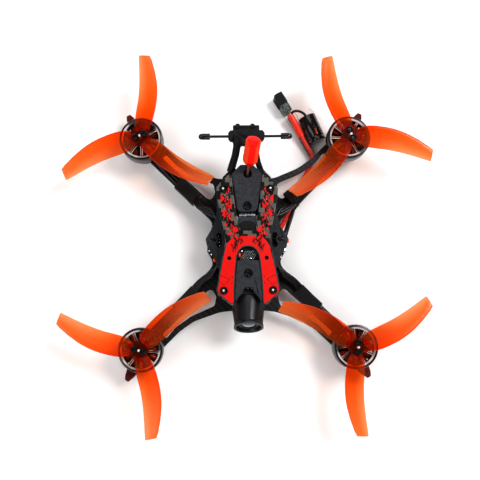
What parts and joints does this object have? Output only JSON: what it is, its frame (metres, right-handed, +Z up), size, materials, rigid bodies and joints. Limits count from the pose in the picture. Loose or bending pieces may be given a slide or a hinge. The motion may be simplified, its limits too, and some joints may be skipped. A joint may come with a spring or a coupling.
{
  "type": "fpv racing drone",
  "caption": "Small X-frame racing quadcopter with three-blade propellers, tilting front camera, rear antennas, soft landing feet and a battery lead ending in a plug.",
  "frame": {"origin": "middle of the battery pad's lower face, below the middle of the square of motor axes", "axes": "+Z up, -Y towards the camera, +X to the right side seen from above with the nose towards the viewer's feet"},
  "size_m": [0.2074, 0.2115, 0.0554],
  "materials": {
    "carbon_plate": "woven carbon plate, satin",
    "printed_carbon": "carbon plate with a printed red pattern under satin lacquer",
    "grey_tpu": "printed soft plastic, matte dark grey",
    "dark_red_tpu": "moulded soft plastic, dull dark red",
    "rotor_metal": "black anodised with a polished bright chamfer",
    "motor_base_metal": "black anodised",
    "copper_winding": "enamelled copper wire on a laminated core",
    "propeller_plastic": "translucent orange polycarbonate",
    "black_steel": "blackened steel screws",
    "circuit_board": "black solder mask",
    "shield_can": "bright tinned sheet with a dark pad",
    "black_rubber": "matte black",
    "camera_black": "matte black moulding",
    "camera_glass": "coated lens glass",
    "antenna_red": "glossy red moulding",
    "red_silicone": "satin silicone insulation",
    "black_silicone": "satin silicone insulation",
    "plug_nylon": "moulded black nylon",
    "capacitor_sleeve": "black printed sleeve"
  },
  "bodies": {
    "airframe": {"antenna_mount": "grey_tpu", "battery_pad": "black_rubber", "capacitor": "capacitor_sleeve", "cover_screw_front": "black_steel", "cover_screw_rear": "black_steel", "deck_bolt_front_left": "black_steel", "deck_bolt_front_right": "black_steel", "deck_bolt_rear_left": "black_steel", "deck_bolt_rear_right": "black_steel", "flight_controller": "circuit_board", "front_cover": "grey_tpu", "landing_foot_front_left": "dark_red_tpu", "landing_foot_front_right": "dark_red_tpu", "landing_foot_rear_left": "dark_red_tpu", "landing_foot_rear_right": "dark_red_tpu", "lead_black": "black_silicone", "lead_red": "red_silicone", "main_frame": "carbon_plate", "motor_base_front_left": "motor_base_metal", "motor_base_front_right": "motor_base_metal", "motor_base_rear_left": "motor_base_metal", "motor_base_rear_right": "motor_base_metal", "motor_wiring_front_left": "black_silicone", "motor_wiring_front_right": "black_silicone", "motor_wiring_rear_left": "black_silicone", "motor_wiring_rear_right": "black_silicone", "power_plug": "plug_nylon", "rear_cover": "grey_tpu", "receiver_antenna": "black_rubber", "stack_guard": "grey_tpu", "standoff_front_left": "motor_base_metal", "standoff_front_right": "motor_base_metal", "standoff_rear_left": "motor_base_metal", "standoff_rear_right": "motor_base_metal", "stator_front_left": "copper_winding", "stator_front_right": "copper_winding", "stator_rear_left": "copper_winding", "stator_rear_right": "copper_winding", "top_plate": "printed_carbon", "video_transmitter": "shield_can", "vtx_antenna": "antenna_red"},
    "camera": {"camera_housing": "camera_black", "lens_guard": "grey_tpu", "lens_glass": "camera_glass"},
    "rotor_rear_left": {"bell_rear_left": "rotor_metal", "propeller_rear_left": "propeller_plastic", "prop_screw_a_rear_left": "black_steel", "prop_screw_b_rear_left": "black_steel"},
    "rotor_rear_right": {"bell_rear_right": "rotor_metal", "propeller_rear_right": "propeller_plastic", "prop_screw_a_rear_right": "black_steel", "prop_screw_b_rear_right": "black_steel"},
    "rotor_front_left": {"bell_front_left": "rotor_metal", "propeller_front_left": "propeller_plastic", "prop_screw_a_front_left": "black_steel", "prop_screw_b_front_left": "black_steel"},
    "rotor_front_right": {"bell_front_right": "rotor_metal", "propeller_front_right": "propeller_plastic", "prop_screw_a_front_right": "black_steel", "prop_screw_b_front_right": "black_steel"}
  },
  "joints": [
    {"name": "camera_tilt", "type": "hinge", "parent": "airframe", "child": "camera", "pos_m": [0, -0.027, 0.016], "axis": [1, 0, 0], "range_deg": [-10, 20]},
    {"name": "motor_spin_rear_left", "type": "hinge", "parent": "airframe", "child": "rotor_rear_left", "pos_m": [-0.0587, 0.0587, 0.0165], "axis": [0, 0, 1], "continuous": true},
    {"name": "motor_spin_rear_right", "type": "hinge", "parent": "airframe", "child": "rotor_rear_right", "pos_m": [0.0587, 0.0587, 0.0165], "axis": [0, 0, 1], "continuous": true},
    {"name": "motor_spin_front_left", "type": "hinge", "parent": "airframe", "child": "rotor_front_left", "pos_m": [-0.0587, -0.0587, 0.0165], "axis": [0, 0, 1], "continuous": true},
    {"name": "motor_spin_front_right", "type": "hinge", "parent": "airframe", "child": "rotor_front_right", "pos_m": [0.0587, -0.0587, 0.0165], "axis": [0, 0, 1], "continuous": true}
  ]
}
